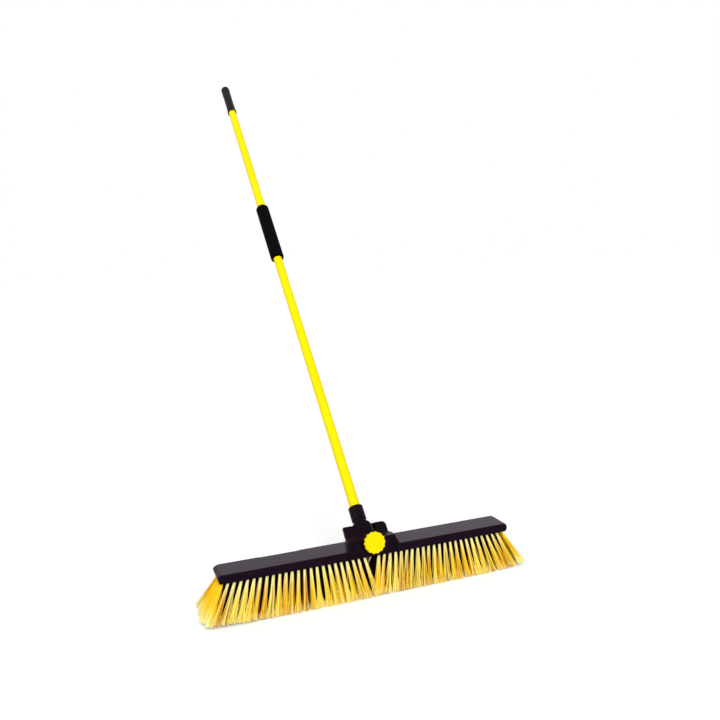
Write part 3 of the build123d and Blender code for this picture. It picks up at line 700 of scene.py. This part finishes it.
def makeGrip(look):
    profile = gripProfile(look)
    across = Vector((1.0, 0.0, 0.0))
    below = handleWay.cross(across)
    around = look["around"]
    points, faces = [], []
    for ring, (s, r) in enumerate(profile):
        for step in range(around):
            turn = 2 * math.pi * step / around
            way = across * math.cos(turn) + below * math.sin(turn)
            wave = 0.0
            if r > look["bore"] + look["plainNear"]:
                spot = way * look["waveAround"] + handleWay * s * look["waveAlong"]
                wave = look["wave"] * wobble.noise(spot)
            points.append(pivot + handleWay * s + way * (r + wave))
            here, after = ring * around, (ring + 1) % len(profile) * around
            beside = (step + 1) % around
            faces.append((here + step, here + beside, after + beside, after + step))
    mesh = bpy.data.meshes.new("foamGrip")
    mesh.from_pydata(points, [], faces)
    mesh.polygons.foreach_set("use_smooth", [True] * len(faces))
    mesh.set_sharp_from_angle(angle=math.radians(look["crease"]))
    mesh.materials.append(foamFinish(foamLook))
    grip = bpy.data.objects.new("foamGrip", mesh)
    bpy.context.scene.collection.objects.link(grip)
    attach(grip, "handle")
    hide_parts("foam_grip")
    print("foam grip", len(faces), "faces")


makeGrip(gripLook)


# Screws: domed heads with a cross recess, on the seats that the CAD screws have
screwInputs = {
    "Int": ("count", "seed"),
    "Float": (
        "half", "shank", "shankRadius", "headRadius", "headThick", "recessLong", "recessWide", "recessDeep",
    ),
    "Vector": ("seat", "turn"),
    "Material": ("finish",),
}
screwForm = {  # the profile from the point up, in shares of the shank and of the head
    "shankHeights": (-1.0, -0.86), "underHead": -0.00002, "headHeights": (0.2, 0.45, 0.68, 0.86, 0.97, 1.0),
    "shankRadii": (0.35, 0.97, 0.97), "headRadii": (0.97, 1.0, 0.97, 0.88, 0.72, 0.5, 0.25),
    "sides": 28, "mostTurn": 1.5, "crease": 32.0,
}


def pick(tree, index, values):  # one value for each point of the screw's profile
    node = addNode(tree, "GeometryNodeIndexSwitch", {"data_type": "FLOAT"}, Index=index)
    while len(node.index_switch_items) < len(values):
        node.index_switch_items.new()
    for socket, value in zip(node.inputs[1:], values):
        feed(tree, socket, value)
    return node.outputs[0]


def shares(tree, whole, parts):
    return [calc(tree, "MULTIPLY", whole, part) for part in parts]


def screwTree(form):
    tree, given, result = newTree("crossScrews", screwInputs)
    index = addNode(tree, "GeometryNodeInputIndex").outputs[0]
    thick = given["headThick"]
    heights = shares(tree, given["shank"], form["shankHeights"]) + [form["underHead"], 0.0]
    heights += shares(tree, thick, form["headHeights"])
    radii = shares(tree, given["shankRadius"], form["shankRadii"])
    radii += shares(tree, given["headRadius"], form["headRadii"])
    axis = addNode(tree, "GeometryNodeCurvePrimitiveLine").outputs[0]
    axis = addNode(tree, "GeometryNodeResampleCurve", Curve=axis, Count=len(radii)).outputs[0]
    axis = keep(tree, axis, "wide", pick(tree, index, radii))
    upAxis = point(tree, 0.0, 0.0, pick(tree, index, heights))
    axis = addNode(tree, "GeometryNodeSetPosition", Geometry=axis, Position=upAxis).outputs[0]
    ring = addNode(tree, "GeometryNodeCurvePrimitiveCircle", Resolution=form["sides"], Radius=1.0).outputs[0]
    turned = sweep(tree, axis, ring, recall(tree, "wide"))
    cut = addNode(tree, "GeometryNodeMeshBoolean", {"operation": "DIFFERENCE", "solver": "EXACT"})
    tree.links.new(turned, cut.inputs[0])
    atTop = point(tree, 0.0, 0.0, thick)
    deep = calc(tree, "MULTIPLY", given["recessDeep"], 2.0)
    for long, wide in (("recessLong", "recessWide"), ("recessWide", "recessLong")):
        bar = addNode(tree, "GeometryNodeMeshCube", Size=point(tree, given[long], given[wide], deep)).outputs[0]
        bar = addNode(tree, "GeometryNodeTransform", Geometry=bar, Translation=atTop).outputs[0]
        tree.links.new(bar, cut.inputs[1])
    step = calc(tree, "SUBTRACT", calc(tree, "MULTIPLY", index, 2.0), calc(tree, "SUBTRACT", given["count"], 1.0))
    spot = point(tree, calc(tree, "MULTIPLY", step, given["half"]), 0.0, 0.0)
    dots = addNode(tree, "GeometryNodePoints", Count=given["count"], Position=spot).outputs[0]
    driven = point(tree, 0.0, 0.0, chance(tree, 0.0, form["mostTurn"], index, given["seed"], 1))
    spun = addNode(tree, "FunctionNodeEulerToRotation", Euler=driven).outputs[0]
    instances = {"Points": dots, "Instance": cut.outputs[0], "Rotation": spun}
    placed = addNode(tree, "GeometryNodeInstanceOnPoints", **instances).outputs[0]
    move = {"Geometry": placed, "Translation": given["seat"], "Rotation": given["turn"]}
    placed = addNode(tree, "GeometryNodeTransform", **move).outputs[0]
    placed = addNode(tree, "GeometryNodeRealizeInstances", Geometry=placed).outputs[0]
    done = addNode(tree, "GeometryNodeSetMaterial", Geometry=placed, Material=given["finish"]).outputs[0]
    tree.links.new(done, result)
    return tree


screwLook = {
    "shankRadius": 0.002, "headRadius": 0.0035, "headThick": 0.0024, "recessLong": 0.0037, "recessWide": 0.0009,
    "recessDeep": 0.0014, "finish": metalMaterials["zincSteel"],
}
screwSets = {  # count, half spacing, seat, turn from +Z in degrees, shank, body
    "rear_screws": (2, 0.026, (0.0, 0.0318, 0.085), -90.0, 0.0183, "head"),
    "under_screws": (2, 0.0082, (0.0, -0.016, 0.080), 180.0, 0.0195, "head"),
    "handle_screw": (1, 0.0, (0.0, 0.06196, 0.12475), -135.0, 0.0055, "handle"),
}


def makeScrews():
    tree = screwTree(screwForm)
    for seed, (nodeName, (count, half, seat, turn, shank, body)) in enumerate(screwSets.items()):
        values = {
            **screwLook, "count": count, "half": half, "seat": seat, "turn": (math.radians(turn), 0.0, 0.0),
            "shank": shank, "seed": seed,
        }
        first, last = nodeName.split("_")
        piece = runTree(tree, first + last.capitalize(), values)
        piece.data.set_sharp_from_angle(angle=math.radians(screwForm["crease"]))
        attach(piece, body)
        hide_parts(nodeName)
        print("screws", piece.name, len(piece.data.polygons), "faces")


makeScrews()


# Camera: solved from the photograph's edges, in the frame's metres
cameraView = {
    "place": (-0.5207, -1.3337, 0.6610),
    "right": (0.9301, -0.3658, -0.0325),
    "down": (-0.0799, -0.1152, -0.9901),
    "forward": (0.3584, 0.9235, -0.1364),
    "focalPixels": 743.99,
    "imagePixels": 720,
    "sensor": 36.0,
    "clip": (0.05, 50.0),
}


def makeCamera(view):
    data = bpy.data.cameras.new("photoCamera")
    data.sensor_width = view["sensor"]
    data.lens = view["sensor"] * view["focalPixels"] / view["imagePixels"]
    data.clip_start, data.clip_end = view["clip"]
    camera = bpy.data.objects.new("photoCamera", data)
    bpy.context.scene.collection.objects.link(camera)
    right = Vector(view["right"])
    up = -Vector(view["down"])
    back = -Vector(view["forward"])
    turn = Matrix((right, up, back)).transposed().to_4x4()
    camera.matrix_world = Matrix.Translation(view["place"]) @ turn
    bpy.context.scene.camera = camera


makeCamera(cameraView)
bpy.context.scene.view_settings.view_transform = "Standard"
print("camera set")


# Stage: a white floor and a white surround, with broad soft suns
stageLook = {
    "white": (1.0, 1.0, 1.0, 1.0),
    "floorHalf": 30.0,
    "floorDrop": 0.0004,
    "floorColour": (0.985, 0.985, 0.985),
    "floorBounce": 0.6,
    "floorGlow": 0.14,
    "floorRoughness": 0.9,
    "floorSpecular": 0.1,
    "worldLight": 0.40,
    "worldShown": 1.0,
    "suns": {
        "keySun": {"towards": (-0.15, -0.95, 0.75), "strength": 2.2, "angle": 30.0},
        "fillSun": {"towards": (-0.90, -0.45, 0.45), "strength": 0.8, "angle": 70.0},
    },
}


def shownRays(tree):  # 1 for what is seen straight or in metal, gloss and glass, 0 for light on the object
    rays = addNode(tree, "ShaderNodeLightPath").outputs
    mirrored = calc(tree, "MAXIMUM", rays["Is Glossy Ray"], rays["Is Transmission Ray"])
    return calc(tree, "MAXIMUM", rays["Is Camera Ray"], mirrored)


def makeFloor(look):
    half = look["floorHalf"]
    mesh = bpy.data.meshes.new("floor")
    corners = [(-half, -half), (half, -half), (half, half), (-half, half)]
    mesh.from_pydata([(x, y, -look["floorDrop"]) for x, y in corners], [], [(0, 1, 2, 3)])
    floor = bpy.data.objects.new("floor", mesh)
    bpy.context.scene.collection.objects.link(floor)
    mat, tree, shader = newMaterial("palePaper")
    seen = shownRays(tree)
    wire(tree, shader, {
        "Base Color": ramp(tree, seen, [(0.0, (look["floorBounce"],) * 3), (1.0, look["floorColour"])]),
        "Emission Strength": spread(tree, seen, 0.0, look["floorGlow"]),
        "Emission Color": look["white"],
        "Roughness": look["floorRoughness"],
        "Specular IOR Level": look["floorSpecular"],
    })
    mesh.materials.append(mat)


def makeWorld(look):
    world = bpy.data.worlds.new("studio")
    bpy.context.scene.world = world
    world.use_nodes = True
    tree = world.node_tree
    strength = spread(tree, shownRays(tree), look["worldLight"], look["worldShown"])
    wire(tree, tree.nodes["Background"], {"Color": look["white"], "Strength": strength})


def makeSun(name, look):
    data = bpy.data.lights.new(name, "SUN")
    data.energy = look["strength"]
    data.angle = math.radians(look["angle"])
    sun = bpy.data.objects.new(name, data)
    bpy.context.scene.collection.objects.link(sun)
    sun.rotation_euler = Vector(look["towards"]).to_track_quat("Z", "Y").to_euler()


makeFloor(stageLook)
makeWorld(stageLook)
for sunName, sunLook in stageLook["suns"].items():
    makeSun(sunName, sunLook)
print("stage and lights set")
